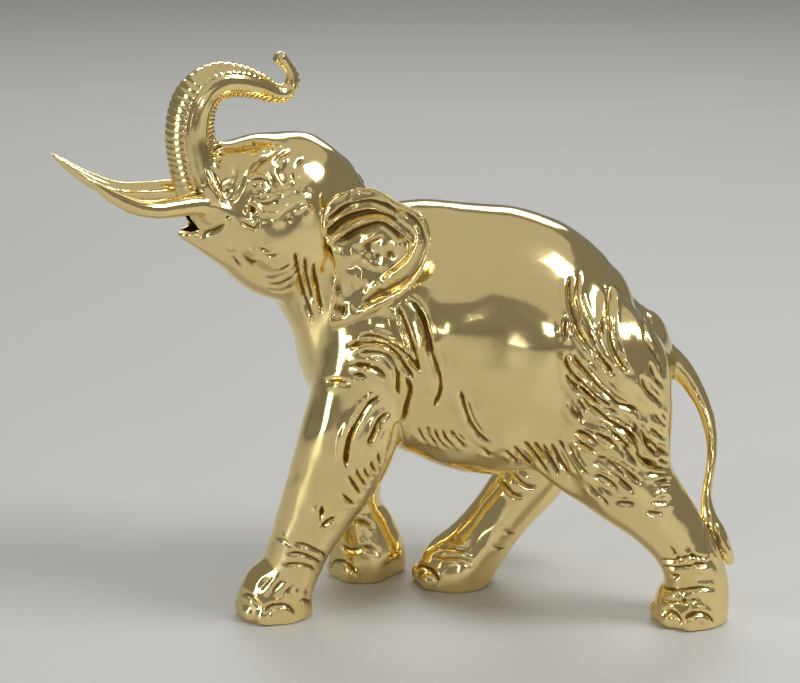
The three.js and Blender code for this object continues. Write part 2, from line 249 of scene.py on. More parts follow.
# ---- Head

CRANIUM = head_stations([
    [12, 0, 243, 35, 41], [28, 0, 250, 38, 45.5], [45, 0, 256, 35, 41.5], [61, 0, 262, 30, 37], [75, 0, 268, 22, 28],
])
JAW = head_stations([
    [20, 0, 214, 27, 20], [36, 0, 214.5, 25, 19.5], [49, 0, 218.5, 21, 16], [63, 0, 227, 16.5, 12],
    [77, 0, 233.5, 12, 7.5], [88, 0, 239.5, 8.5, 5], [94.5, 0, 242.5, 6.5, 4],
])
MOUTH = head_stations([
    [62, 0, 245, 12, 3], [76, 0, 246.5, 11, 4.5], [87, 0, 249, 8.5, 6.5], [94, 0, 250, 6.5, 7], [106, 0, 254, 6, 8],
])
TRUNK = head_stations([
    [64, 0, 252, 18, 19], [76, 0, 264, 17, 17.5], [84, 0, 278, 15.5, 16], [87.5, 0, 292, 14.3, 14.6],
    [88.5, 0, 305.5, 13.8, 14.2], [85.5, 0, 318, 13.2, 13.4], [78.5, 0, 327, 12.3, 12.4], [68.5, 0, 330.5, 11, 11],
    [57, 0, 329, 9.6, 9.7], [45.5, 0, 325, 7.8, 7.8], [36.5, 0, 320.5, 6.3, 6.2], [30, 0, 319.3, 5.6, 5.5],
    [24.5, 0, 322.5, 4.9, 4.8], [24, 0, 329, 4.2, 4], [27.5, 0, 335.5, 3.8, 3.4], [32.5, 0, 341, 5, 4.2],
])


def cheek(hand):
    rows = [[30, 24, 232, 13, 20], [48, 23, 240, 12, 16], [64, 18, 251, 10, 11], [82, 15.5, 261.5, 8, 8]]
    return limb(head_stations([[f, hand * s, *rest] for f, s, *rest in rows]), HEAD_SIDE)


def eye(hand):
    return ball(on_head(55, hand * 27.5, 270), [4.6, 4.2, 3.6])


def tusk(hand):
    rows = [
        [72, 14, 258, 6.6], [84, 16, 261.5, 6.6], [96, 18, 264, 6.3], [108, 20, 264.2, 5.8], [120, 22, 265.3, 5.3],
        [132, 24.5, 268.8, 4.8], [145, 27, 276.2, 3.8], [155, 28.3, 284, 2.6], [162.5, 29, 290.5, 0.9],
    ]
    return limb(head_stations([[f, hand * s, up, r, r] for f, s, up, r in rows]), HEAD_SIDE)


# ---- Ears: [rearward, up] from the front of the root

EAR_OUTLINE = [
    [0, 0], [1, 13], [7, 22], [16, 27], [28, 29.5], [37, 27.5], [46, 22.5], [55, 19.5], [61, 16], [65.5, 7],
    [66, -2], [64, -11], [59, -22], [52, -31.5], [43, -38.5], [31, -45.5], [18.5, -51.5], [6, -57], [3, -55],
    [5.5, -42], [7, -29], [7, -14],
]
EAR_MIDDLE = np.array([33.0, -6.0])
EAR_THICKNESS = 3.4
EAR_CUP = 5.0


class Ear:
    """Where an ear grows from, and the directions in its plane and out of it."""

    def __init__(self, root, rearward, outward):
        self.root = np.array(root, float)
        self.rearward = unit(np.array(rearward, float))
        self.outward = unit(np.array(outward, float))

    def place(self, back, up, lift):
        return self.root + np.multiply.outer(back, self.rearward) + np.multiply.outer(up, UP) + np.multiply.outer(lift, self.outward)

    def measure(self, points):
        """How far rearward, up and outward points lie from the root."""
        away = points - self.root
        return away @ self.rearward, away[:, 2], away @ self.outward


NEAR_EAR = Ear((-38, -40, 244), (0.955, -0.295, 0), (-0.295, -0.955, 0))
FAR_EAR = Ear(on_head(18, 33, 234), (0.81, 0.585, 0), (-0.585, 0.81, 0))


def ear_sheet(ear, spokes=120, rings=22):
    """The ear's sheet, cupped and with a rolled rim."""
    outline = smooth_line(np.array([[a, b, 0] for a, b in EAR_OUTLINE + EAR_OUTLINE[:1]]), 0.5)
    outline = outline[np.linspace(0, len(outline) - 1, spokes, endpoint=False).astype(int), :2] - EAR_MIDDLE
    reach = np.linspace(0, 1, rings + 1)[1:]
    flat = EAR_MIDDLE + reach[:, None, None] * outline
    rim = np.exp(-(((reach - 0.93) / 0.07) ** 2)) * 2.0
    lift = (EAR_CUP * reach**2 + rim)[:, None] + 0 * flat[..., 0]
    thin = np.where(reach > 0.99, EAR_THICKNESS * 0.35, 0)[:, None]
    front = ear.place(flat[..., 0], flat[..., 1], lift - thin).reshape(-1, 3)
    back = ear.place(flat[..., 0], flat[..., 1], lift - EAR_THICKNESS + thin)[::-1].reshape(-1, 3)
    middles = ear.place(np.full(2, EAR_MIDDLE[0]), np.full(2, EAR_MIDDLE[1]), np.array([0, -EAR_THICKNESS]))
    points = np.vstack([front, back, middles])
    return points, np.vstack([ring_walls(2 * rings, spokes), ring_cap(0, spokes, len(points) - 2, True),
                              ring_cap((2 * rings - 1) * spokes, spokes, len(points) - 1, False)])


# ---- Legs and tail

NEAR_FRONT_LEG = [
    [-6, -28, 206, 22, 28], [-9, -32, 170, 24, 31], [-17.5, -34, 140, 24, 29], [-24, -35, 116, 24, 29.5],
    [-32, -35, 94, 22.5, 27.5], [-42.5, -34, 72, 20.5, 23.3], [-54, -33, 46, 18.5, 18.8], [-60.5, -32, 29, 18, 18.2],
    [-68.5, -30, 13, 21, 22.5], [-70, -30, 2, 21.5, 23], [-70, -30, -SOLE_DROP, 20, 21.5],
]
FAR_FRONT_LEG = [
    [-10, 26, 204, 20, 28], [-13, 30, 165, 22, 29], [-18, 33, 125, 22, 26.5], [-21, 34, 90, 20, 20],
    [-23.5, 35, 60, 18, 18.3], [-23, 35, 45, 17.5, 17.8], [-17.5, 36, 27, 20, 21.5], [-14.5, 37, 13, 22.5, 24],
    [-15, 37, -SOLE_DROP, 22, 23.5],
]
NEAR_HIND_LEG = [
    [116, -16, 188, 22, 20], [128, -29, 162, 28, 34], [133, -32, 134, 27.5, 35], [136, -35, 107, 25, 32],
    [144, -37, 87, 23, 27.5], [156.5, -38, 72, 21.5, 23], [167.5, -38, 59, 20, 20], [176.5, -38, 45, 18.5, 18.4],
    [182.5, -38, 31, 18.5, 18.8], [184, -38, 20, 20, 20.5], [182, -38, 9, 22, 22.8], [181, -38, -SOLE_DROP, 21, 22],
]
FAR_HIND_LEG = [
    [114, 16, 184, 22, 20], [122, 28, 156, 28, 32], [117, 31, 124, 26, 31], [102, 30, 93, 22, 26],
    [84, 27, 64, 19, 21], [66, 25, 40, 17.5, 18.4], [53, 23, 23, 19.5, 19.8], [42, 22, 9, 22.5, 23.5],
    [38, 22, -SOLE_DROP, 22, 23],
]
TAIL = [
    [140, 0, 160, 8, 8], [157, 0, 159, 8.5, 9], [173, -2, 148, 7, 7.2], [185, -6, 132, 5.6, 5.2],
    [192, -12, 114, 4.2, 4], [193.5, -18, 95, 3, 3.1], [190.5, -24, 75, 3, 3], [192, -28, 62, 4.5, 4.5],
    [199, -30, 48, 6, 5], [205, -30, 34, 4, 3],
]


def flank_fold(hand):
    """The fold of skin from the belly to the knee."""
    return limb([[92, hand * 26, 108, 10, 16], [110, hand * 31, 90, 10, 13], [132, hand * 36, 78, 12, 13]])


def nails(x, y, radius, bearings):
    """Toenails round a foot, at bearings counted from straight ahead."""
    for bearing in np.radians(bearings):
        centre = np.array([x - math.cos(bearing) * radius, y - math.sin(bearing) * radius, 5])
        yield ball(centre, [4, 6.5, 6], bearing)


def cast_wax():
    """All the masses joined, with the mouth opened and the soles cut flat."""
    wax = Wax((-212, -112, -4), (226, 92, 358))
    wax.add(limb(TORSO, ends=(0.35, 0.5)), 8)
    wax.add(limb(CHEST), 12)
    wax.add(limb(NECK), 12)
    wax.add(limb(NEAR_FRONT_LEG), 9)
    far_front = Wax((-60, -10, -16), (40, 92, 240))
    far_front.add(limb(FAR_FRONT_LEG), 1)
    far_front.cut(slab(np.array([-10, 14, 0]), (0.74, -0.6, -0.3)), 2)
    wax.join(far_front, 9)
    wax.add(limb(NEAR_HIND_LEG), 10)
    wax.add(limb(FAR_HIND_LEG), 10)
    for hand in (-1, 1):
        wax.add(flank_fold(hand), 9)
    wax.add(limb(CRANIUM, HEAD_SIDE, (0.6, 0.6)), 10)
    wax.add(limb(JAW, HEAD_SIDE, (0.6, 0.8)), 8)
    for hand in (-1, 1):
        wax.add(cheek(hand), 8)
    wax.soften(2.0)
    wax.add(limb(TRUNK, HEAD_SIDE, (0.5, 0.4)), 5)
    wax.cut(limb(MOUTH, HEAD_SIDE), 2)
    for hand in (-1, 1):
        wax.add(tusk(hand), 2)
        wax.add(eye(hand), 1.5)
    for ear in (NEAR_EAR, FAR_EAR):
        wax.add(ear_sheet(ear), 3)
    wax.add(limb([[-33, -33, 250, 6, 8], [-33, -33, 214, 6, 8]]), 5)
    wax.add(limb(TAIL), 3)
    for foot in ((-70, -30, 20, [-45, 0, 40, 75]), (181, -38, 20.5, [-45, 0, 45, 85]), (38, 22, 21, [-45, 0, 45]),
                 (-15, 37, 21, [-30, 15, 60])):
        for nail in nails(*foot):
            wax.add(nail, 1)
    wax.level_with_floor()
    return wax


# ---- Skin


class Skin:
    """The skin drawn over the wax: points, their outward normals and four-sided faces."""

    def __init__(self, points, faces):
        self.points = points
        self.faces = faces
        self.orient()

    def orient(self):
        a, b, c, d = (self.points[self.faces[:, k]] for k in range(4))
        out = np.cross(c - a, d - b)
        if (out * (a + c)).sum() < 0:
            self.faces = self.faces[:, ::-1].copy()
            out = -out
        total = np.stack([np.bincount(self.faces.ravel(), np.repeat(out[:, k], 4), len(self.points)) for k in range(3)], 1)
        self.normals = total / (np.linalg.norm(total, axis=1, keepdims=True) + 1e-12)

    def _neighbours(self):
        """Both ends of every edge, and how many edges meet at each point."""
        edges = np.sort(np.vstack([self.faces[:, [k, (k + 1) % 4]] for k in range(4)]), axis=1)
        edges = np.unique(edges[:, 0].astype(np.int64) * len(self.points) + edges[:, 1])
        one, other = edges // len(self.points), edges % len(self.points)
        return one, other, np.bincount(np.r_[one, other], minlength=len(self.points))

    def hollows(self, passes):
        """How far each point lies below the skin smoothed over its surroundings, in mm."""
        one, other, count = self._neighbours()
        smooth = self.points.copy()
        for _ in range(passes):
            smooth = np.stack([np.bincount(np.r_[one, other], np.r_[smooth[other, k], smooth[one, k]], len(smooth))
                               for k in range(3)], 1) / count[:, None]
        return ((smooth - self.points) * self.normals).sum(1)

    def relax(self, passes):
        """Takes out the small unevenness without shrinking the form."""
        one, other, count = self._neighbours()
        for share in [0.5, -0.53] * passes:
            near = np.stack([np.bincount(np.r_[one, other], np.r_[self.points[other, k], self.points[one, k]], len(self.points))
                             for k in range(3)], 1)
            self.points = self.points + share * (near / count[:, None] - self.points)
        self.orient()


def as_mesh(name, points, faces):
    """A Blender mesh of four-sided faces, from millimetres in the sculpture's own frame to metres in the part's."""
    mesh = bpy.data.meshes.new(name)
    mesh.vertices.add(len(points))
    mesh.vertices.foreach_set("co", ((points + OWN_ORIGIN) * METRE).astype(np.float32).ravel())
    mesh.loops.add(faces.size)
    mesh.loops.foreach_set("vertex_index", faces.astype(np.int32).ravel())
    mesh.polygons.add(len(faces))
    mesh.polygons.foreach_set("loop_start", np.arange(0, faces.size, 4, dtype=np.int32))
    mesh.update(calc_edges=True)
    return mesh


def points_of(mesh):
    """A mesh's points, in millimetres in the sculpture's own frame, and its four-sided faces."""
    points = np.empty(len(mesh.vertices) * 3, np.float32)
    mesh.vertices.foreach_get("co", points)
    faces = np.empty(len(mesh.loops), np.int32)
    mesh.loops.foreach_get("vertex_index", faces)
    return points.reshape(-1, 3).astype(float) / METRE - OWN_ORIGIN, faces.reshape(-1, 4).astype(np.int64)


def finer(skin):
    """The skin with each face split in four on a smooth surface."""
    draft = bpy.data.objects.new("draft", as_mesh("draft", skin.points, skin.faces))
    bpy.context.scene.collection.objects.link(draft)
    split = draft.modifiers.new("split", "SUBSURF")
    split.levels = 1
    split.use_limit_surface = False
    dense = draft.evaluated_get(bpy.context.evaluated_depsgraph_get()).to_mesh()
    points, faces = points_of(dense)
    draft.evaluated_get(bpy.context.evaluated_depsgraph_get()).to_mesh_clear()
    mesh = draft.data
    bpy.data.objects.remove(draft)
    bpy.data.meshes.remove(mesh)
    return Skin(points, faces)


# ---- Carving

# Each line is [height, half-width, places...]: a height below 0 is cut in, one above 0 is raised.
# Places on the ear are [rearward, up] from its root.
EAR_LINES = [
    [-1.6, 2.0, (12.5, 22), (18, 25.5), (27, 27), (36, 23.5), (46, 16.5), (56, 11), (60, 4.5), (62, -3.5), (59.5, -12.5), (52, -22.5), (41.5, -30), (32, -35.5), (22.5, -42)],
    [1.5, 1.5, (1.7, 9), (12, 18), (21, 22), (30, 24.5), (38, 22), (44.5, 18), (53.5, 11.5)],
    [-0.9, 1.2, (3, 7), (12, 15.5), (21.5, 19.8), (30, 21), (39.5, 18), (46.5, 13.5)],
    [1.3, 1.4, (0.5, 2), (12, 11.2), (22.5, 15.6), (31, 17.2), (39.5, 16), (46.5, 12.5)],
    [-1.6, 1.8, (1.6, -2), (12, 7), (22.5, 12.2), (32, 14), (39.5, 12.8), (46.5, 8.8)],
    [1.8, 1.7, (1, -8), (9, -1.5), (19, 5.3), (28.5, 9.6), (35, 11.4), (39.5, 10.3), (44, 6.8), (51, 1.5), (54, -1.2), (53.5, -5), (50.5, -8)],
    [-1.7, 2.0, (9, -7), (18, -0.7), (27.5, 4.2), (35, 6.5), (40, 3.8), (45, 1), (51, -1.5)],
    [1.3, 1.4, (19.5, -9), (25.5, -3.6), (32, 0), (37, 2)],
    [1.6, 1.8, (59, 4.5), (58, -2.5), (53.5, -12), (48.5, -17), (45, -20.5), (40.5, -23.8), (35, -27)],
    [1.8, 1.0, (6.8, -11), (5.8, -20), (4.5, -35), (3.5, -50)],
    [-2.0, 2.2, (9, -12), (9.5, -23), (10, -33.5), (11, -40)],
]
# Each dent or mound is [height, radius, place].
EAR_DENTS = [
    [1.7, 3.2, (17, -13)], [1.9, 3.8, (19.5, -25)], [1.2, 2.8, (21, -30)], [1.9, 3.8, (36, -6)], [1.7, 3.3, (44.5, -5)],
    [1.2, 3.0, (27, -16)], [1.3, 2.8, (36, -18)], [1.0, 2.3, (31, -19)], [1.5, 3.6, (43, -23.5)], [1.2, 2.3, (33, -30)],
    [0.9, 3.6, (27, -26)], [1.2, 3.0, (16.5, -45)], [-1.8, 2.6, (11, -46)], [-1.6, 3.4, (27, -9)], [-1.8, 2.6, (40, -11)],
    [-1.3, 2.8, (24, -33.5)], [-1.4, 2.4, (32.5, -13)],
]
# Places on a side of the head are [forwards, up].
HEAD_LINES = [
    [1.4, 1.5, (85, 285), (83, 279), (80.5, 273), (78, 267.5), (75, 264)],
    [-0.9, 0.9, (81, 281), (79.5, 275.5), (77.5, 270), (75.5, 266)],
    [1.4, 1.7, (62, 283.5), (65, 278.5), (67.5, 274), (71, 269), (75, 264)],
    [-1.2, 1.0, (63.5, 280), (59, 283), (55, 285.5), (49.5, 287.5), (44.5, 289), (37, 291)],
    [-1.0, 0.9, (61, 279.7), (57, 282), (53, 285), (48, 286.7), (44, 288)],
    [-0.8, 0.9, (54, 288), (50.5, 289), (44.5, 291)],
    [-1.1, 1.0, (47, 283), (44, 286), (39, 288), (33.5, 289), (30, 288.5)],
    [1.5, 1.3, (44, 284), (46.6, 281), (46.7, 277), (43.7, 272.6), (39.6, 273.4), (36.5, 277.5)],
    [0.9, 1.1, (44, 281), (40.6, 284), (37, 287)],
    [-1.1, 1.0, (34.5, 280), (32, 282.5), (28, 284.5), (25, 285.5)],
    [-1.1, 0.9, (37, 272), (36.5, 276.5), (34.5, 280)],
    [1.0, 1.2, (36.5, 272), (35, 269.4), (32.5, 269.2), (30.3, 272.6)],
    [1.0, 1.0, (63.2, 275.5), (59.7, 278.8), (54.7, 279.6), (51.2, 277.7), (49.6, 273.7)],
    [-0.8, 0.8, (62.5, 273.2), (60.6, 276.3), (56.2, 277.2), (52.6, 275.6), (51, 271.6)],
    [-0.8, 0.8, (63, 271), (61.3, 267.8), (57, 266.6), (52, 268.4)],
    [-0.9, 1.3, (65, 267), (60, 264.6), (54.5, 263.4), (48, 265.9), (44.3, 269)],
    [1.6, 2.1, (60, 259.7), (55, 258.6), (49, 258.8), (42.7, 262.2), (37.2, 264.1), (31.2, 264.6), (27.6, 260.5)],
    [1.2, 1.8, (41.7, 257.8), (36.8, 259), (32.2, 260.5), (29, 258.3), (27, 254.7)],
    [-1.6, 1.3, (66, 264), (63.2, 262.2), (62, 259.3), (61, 256.4)],
    [-1.0, 1.0, (68.7, 256.4), (67.7, 253.4), (65, 251), (61.8, 249.7), (60, 252.6), (60.4, 256.2)],
    [-1.7, 1.5, (87, 240.7), (81, 246.3), (77.6, 251.4), (75.3, 253.5)],
    [-1.0, 1.1, (71.5, 231.7), (68, 226.8), (64.5, 222.7), (61.6, 220)],
    [-1.6, 1.6, (66, 232.4), (62.8, 227.3), (59.2, 224), (56.7, 221)],
    [-1.1, 1.0, (58, 233.4), (53, 232.2), (50, 232.8), (46.7, 234.3)],
    [-0.8, 1.0, (61, 238), (56.8, 236.5), (52.4, 235.2)],
    [-1.0, 0.9, (48.3, 219.7), (45, 222.5), (42.3, 225.4), (39.8, 228.6)],
    [-0.9, 0.9, (41, 221), (38.2, 224.4), (36.8, 228.4)],
    [-0.8, 1.0, (51.2, 212.3), (46.2, 211), (41, 213), (37.7, 218.7), (34.7, 225)],
    [-0.6, 1.0, (53.4, 216.2), (48, 215.7), (44, 218.5)],
    [-0.6, 1.1, (48.6, 207.4), (43, 206), (38, 208.3), (34.6, 213.8)],
]
HEAD_DENTS = [
    [-1.6, 4.2, (41.3, 278.6)], [-1.3, 0.9, (48.6, 263.5)], [-1.3, 1.0, (41.7, 253.5)], [-2.2, 1.5, (62, 259.8)],
    [-1.8, 1.1, (76, 256)], [-1.0, 0.8, (44, 291)], [-1.0, 0.9, (52.7, 293.4)], [-1.4, 1.6, (74.7, 271)],
    [1.4, 4.0, (48, 254.5)], [1.0, 2.6, (31.6, 255.7)], [1.3, 2.4, (85, 254)], [1.4, 2.2, (61.6, 235)], [1.2, 2.0, (71.7, 235.5)],
    [-1.3, 2.4, (59.2, 225.8)], [0.8, 4.5, (72, 278)],
    [-0.7, 0.7, (59.5, 273)], [-0.7, 0.7, (56, 271)], [-0.8, 0.8, (55.8, 273.6)], [-0.5, 0.6, (58, 269.8)], [-0.5, 0.6, (54.4, 271.6)],
]
# Places on a side of the body are [along, up].
HAUNCH_LINES = [
    [(107, 217), (105, 209), (106, 198), (111, 185), (118, 175), (121, 170)],
    [(111, 218), (110, 206), (112, 195), (118, 182), (123, 172), (132, 160)],
    [(124, 209), (127, 203), (127, 195), (124, 186), (125, 179)],
    [(129, 208), (129, 200), (128, 191), (129, 181), (132, 173), (139, 162)],
    [(130, 207), (140, 198), (148, 188), (152, 176), (158, 166), (162, 154)],
    [(103, 196), (102, 188), (103, 180)],
    [(103, 175), (103, 169), (106, 163), (113, 155), (119, 149), (125, 145), (133, 141)],
    [(106, 175), (110, 168), (116, 161), (121, 155), (127, 150), (134, 144), (142, 141), (148, 136)],
    [(102, 165), (105, 158), (113, 151), (118, 147), (123, 142)],
    [(114, 144), (122, 139), (130, 133), (137, 129), (144, 122), (148, 115)],
    [(105, 144), (108, 137), (114, 131)],
    [(108, 148), (113, 141), (117, 136)],
    [(120, 134), (127, 131), (133, 126), (141, 121)],
    [(140, 134), (147, 127), (151, 120), (153, 114)],
    [(146, 161), (150, 152), (156, 145), (160, 139)],
    [(151, 168), (155, 159), (160, 150)],
    [(154, 138), (159, 131), (163, 124)],
    [(151, 129), (158, 123), (163, 116)],
    [(107, 124), (114, 124), (120, 120), (125, 117)],
    [(108, 117), (114, 117), (120, 114), (123, 111)],
    [(118, 110), (125, 110), (132, 107), (139, 103), (144, 98), (149, 93)],
    [(118, 107), (125, 106), (133, 101), (137, 96), (142, 91), (145, 88)],
    [(118, 97), (124, 98), (130, 95), (136, 89)],
    [(121, 91), (127, 89), (133, 85)],
    [(115, 91), (121, 87), (126, 83), (130, 76)],
    [(123, 126), (132, 121), (139, 115), (144, 108), (147, 104)],
    [(138, 128), (145, 117), (147, 111), (154, 105), (158, 101)],
    [(148, 125), (155, 116), (162, 111), (166, 106)],
    [(150, 118), (157, 111), (166, 101)],
    [(150, 101), (157, 99), (165, 97)],
    [(154, 96), (162, 94), (168, 92)],
    [(157, 92), (164, 90), (169, 88)],
    [(131, 80), (138, 82), (147, 81)],
    [(154, 83), (160, 82), (167, 82)],
    [(150, 78), (156, 76), (163, 76)],
    [(178, 44), (185, 42), (193, 42)],
    [(167, 32), (174, 34)],
]
SHOULDER_LINES = [
    [(-20, 182), (-12, 184), (-3, 182), (5, 177), (12, 171), (17, 163)],
    [(-26, 176), (-15, 180), (-3, 179), (5, 172), (10, 164), (15, 156)],
    [(-20, 174), (-9, 175), (-1, 172), (4, 164), (5, 155), (5, 146)],
    [(-24, 166), (-15, 167), (-7, 164), (-1, 158)],
    [(-24, 160), (-18, 161), (-12, 159)],
    [(-39, 153), (-31, 156), (-22, 155)],
    [(4, 203), (8, 193), (12, 182), (15, 173), (17, 159)],
    [(9, 206), (17, 199), (23, 184), (25, 173), (29, 159), (29, 149), (25, 138)],
    [(15, 200), (19, 194), (22, 183), (23, 171)],
    [(8, 162), (12, 151), (10, 140), (8, 127)],
    [(-5, 149), (-12, 143), (-18, 134), (-24, 122), (-26, 104)],
    [(1, 138), (-6, 133), (-10, 125), (-13, 116)],
    [(-20, 106), (-19, 100), (-16, 94), (-13, 88)],
    [(-25, 101), (-22, 94), (-19, 88), (-16, 83)],
    [(-16, 106), (-14, 99), (-10, 93)],
    [(-11, 110), (-10, 103), (-7, 96)],
    [(-6, 114), (-6, 107), (-4, 101)],
    [(-29, 88), (-25, 82), (-19, 76)],
    [(-20, 132), (-24, 123), (-26, 112), (-26, 102)],
    [(-6, 132), (-9, 125), (-13, 116)],
    [(-40, 81), (-41, 70)],
    [(-42, 62), (-37, 68), (-31, 71)],
    [(-55, 236), (-53, 220), (-50, 202), (-45, 186)],
    [(-49, 232), (-48, 214), (-45, 198)],
    [(-44, 226), (-43, 210), (-40, 192)],
]
BELLY_LINES = [
    [(16, 125), (20, 116), (24, 112)],
    [(21, 127), (24, 119), (29, 109)],
    [(26, 126), (29, 117), (35, 108)],
    [(30, 126), (33, 119), (39, 110)],
    [(34, 126), (38, 120), (46, 109)],
    [(41, 153), (43, 142), (47, 130), (54, 120), (61, 115)],
    [(54, 113), (61, 104)],
    [(67, 112), (73, 105), (77, 97)],
    [(72, 115), (79, 105), (85, 95)],
    [(78, 117), (85, 109), (90, 100), (94, 91)],
    [(84, 117), (92, 106), (97, 96)],
    [(90, 113), (96, 102), (102, 90)],
    [(95, 115), (101, 103), (107, 92)],
    [(99, 118), (105, 107), (113, 94)],
    [(104, 117), (110, 106), (118, 95)],
    [(109, 125), (117, 123), (123, 119)],
    [(108, 121), (114, 117), (121, 112)],
    [(120, 131), (129, 127), (136, 122), (142, 113)],
    [(117, 127), (126, 123), (134, 117), (140, 109)],
    [(118, 108), (125, 108), (133, 104), (140, 98)],
    [(130, 131), (139, 127), (147, 120)],
    [(141, 133), (146, 125), (153, 115), (163, 108)],
    [(149, 109), (157, 104), (166, 98)],
    [(106, 146), (111, 136), (114, 130)],
    [(105, 157), (111, 149), (119, 141)],
    [(109, 155), (117, 147), (125, 142), (135, 138)],
]
FOOT_LINES = [
    [-0.9, 1.0, (-70, 54), (-63, 54), (-58, 50)],
    [-1.1, 1.1, (-59, 54), (-52, 53), (-47, 51), (-40, 45), (-37, 38)],
    [-1.1, 1.1, (-64, 46), (-54, 47), (-46, 43), (-39, 35)],
    [-1.0, 1.0, (-67, 38), (-57, 40), (-49, 38), (-43, 31)],
    [-1.0, 1.2, (-40, 79), (-41, 71), (-42, 62)],
    [-1.0, 1.2, (-31, 71), (-37, 68), (-42, 62)],
    [-1.4, 1.2, (-76, 7), (-73, 12), (-66, 13.5), (-60, 11), (-56, 4)],
    [-1.2, 1.2, (-91, 14), (-86, 17), (-81, 15), (-77, 10)],
    [-1.2, 1.2, (-56, 12), (-52, 14), (-48, 9), (-48, 3)],
    [-1.0, 1.6, (-80, 20), (-75, 26), (-69, 31)],
    [-1.0, 1.6, (-73, 19), (-68, 25), (-61, 31)],
    [-0.9, 1.5, (-66, 18), (-62, 22), (-56, 27)],
    [-0.9, 1.3, (-56, 25), (-55, 18)],
    [-0.9, 1.3, (-51, 23), (-49, 14)],
    [-1.1, 1.1, (159, 42), (168, 44), (179, 47), (190, 44)],
    [-0.9, 1.0, (160, 38), (169, 39), (181, 41), (192, 39)],
    [-1.1, 1.1, (162, 21), (171, 24), (184, 27), (195, 25)],
    [-0.9, 1.0, (162, 16), (173, 18), (186, 21)],
    [-1.4, 1.2, (161, 2), (164, 9), (169, 11), (173, 8), (174, 2)],
    [-1.4, 1.2, (173, 2), (176, 9), (184, 12), (191, 9), (195, 2)],
    [-1.0, 1.2, (165, 56), (169, 50), (174, 41)],
    [-1.0, 1.2, (175, 56), (180, 48), (184, 40)],
    [1.2, 1.2, (190, 64), (190, 52), (197, 37)],
    [1.3, 1.2, (192, 64), (195, 50), (204, 34)],
    [1.2, 1.2, (195, 61), (200, 47), (208, 37)],
    [-0.9, 1.3, (172, 14), (176, 18), (173, 22), (178, 24)],
]
FAR_LEG_LINES = [
    [-1.3, 1.2, (15, 7), (19, 12), (25, 13), (29, 9), (30, 3)],
    [-1.2, 1.2, (31, 3), (33, 10), (39, 13), (46, 11)],
    [-0.9, 1.2, (24, 20), (35, 22), (44, 22), (53, 18)],
    [-0.8, 1.1, (27, 25), (38, 27), (50, 25)],
    [-1.0, 1.1, (69, 40), (74, 36), (79, 35)],
    [-0.9, 1.1, (62, 30), (68, 26), (74, 26)],
    [-1.1, 1.4, (66, 71), (76, 62), (84, 60)],
    [-1.0, 1.3, (73, 77), (83, 68), (92, 66)],
    [-1.0, 1.3, (-36, 38), (-28, 42), (-16, 40), (-8, 34)],
    [-1.3, 1.2, (-38, 5), (-34, 12), (-27, 13), (-22, 8), (-21, 2)],
    [-1.0, 1.6, (-32, 26), (-24, 22), (-14, 24), (-6, 18)],
    [1.1, 2.2, (-22, 44), (-20, 30), (-14, 16)],
]
# How far a near leg stands behind the far leg of its pair, [up, distance].
HIND_STRIDE = [[45, 107], [59, 87], [87, 46], [107, 28], [134, 15], [165, 6], [200, 0]]
FRONT_STRIDE = [[27, -43], [45, -31], [60, -25], [90, -13], [125, -3], [165, 3], [200, 0]]
RIB_SPACING = 3.3
OUTER_FACE = 1  # the sign of the sine of a rib's angle on the outside of the trunk's first bend
# Broad swellings and hollows of the flanks, as [height, radius, place].
FLANK_FORMS = [
    [2.0, 17, (34, 188)], [-2.0, 20, (64, 176)], [1.8, 22, (94, 182)], [-2.2, 14, (108, 150)], [-2.6, 14, (48, 140)],
    [-2.0, 12, (84, 124)], [2.0, 16, (130, 186)], [1.6, 12, (140, 160)], [-1.6, 9, (118, 205)], [1.5, 10, (66, 118)],
    [-1.5, 10, (30, 168)], [1.6, 9, (18, 178)], [-1.6, 8, (-2, 192)], [1.4, 10, (-12, 168)], [-1.4, 8, (-20, 140)],
    [1.4, 9, (-2, 128)], [-1.2, 8, (-34, 100)], [1.2, 9, (132, 118)], [-1.4, 9, (150, 104)], [1.2, 8, (164, 84)],
]


def smooth_step(value, low, high):
    t = np.clip((value - low) / (high - low), 0, 1)
    return t * t * (3 - 2 * t)


def line_relief(u, v, path, width):
    """How far aside of a carved line places (u, v) lie, in half-widths, and how strong the line is there."""
    line = smooth_line([[a, b, 0] for a, b in path], 0.5)[:, :2]
    aside, strength = np.full(len(u), 9.0), np.zeros(len(u))
    margin = 5 * width
    near = np.flatnonzero((u > line[:, 0].min() - margin) & (u < line[:, 0].max() + margin)
                          & (v > line[:, 1].min() - margin) & (v < line[:, 1].max() + margin))
    heading = unit(np.gradient(line, axis=0))
    for some in np.array_split(near, len(near) // 20000 + 1):
        du, dv = u[some, None] - line[:, 0], v[some, None] - line[:, 1]
        at = (du**2 + dv**2).argmin(1)
        row = np.arange(len(some))
        du, dv = du[row, at], dv[row, at]
        left = np.sign(heading[at, 0] * dv - heading[at, 1] * du)
        run = at / (len(line) - 1)
        aside[some] = left * np.hypot(du, dv) / width
        strength[some] = smooth_step(np.minimum(run, 1 - run) * (len(line) - 1) * 0.5, 0, np.minimum(7, 0.25 * len(line)))
    return aside, strength


def cut_fold(aside):
    """A cut with the skin swelling softly on one side and a low lip on the other."""
    high, low = np.exp(-(((aside + 2.3) / 1.5) ** 2)), np.exp(-(((aside - 2.2) / 1.3) ** 2))
    return -1.1 * np.exp(-((aside / 0.95) ** 2)) + 0.5 * high + 0.3 * low


def raised_ridge(aside):
    return np.exp(-(aside**2)) - 0.2 * np.exp(-(((np.abs(aside) - 2.0) / 0.8) ** 2))


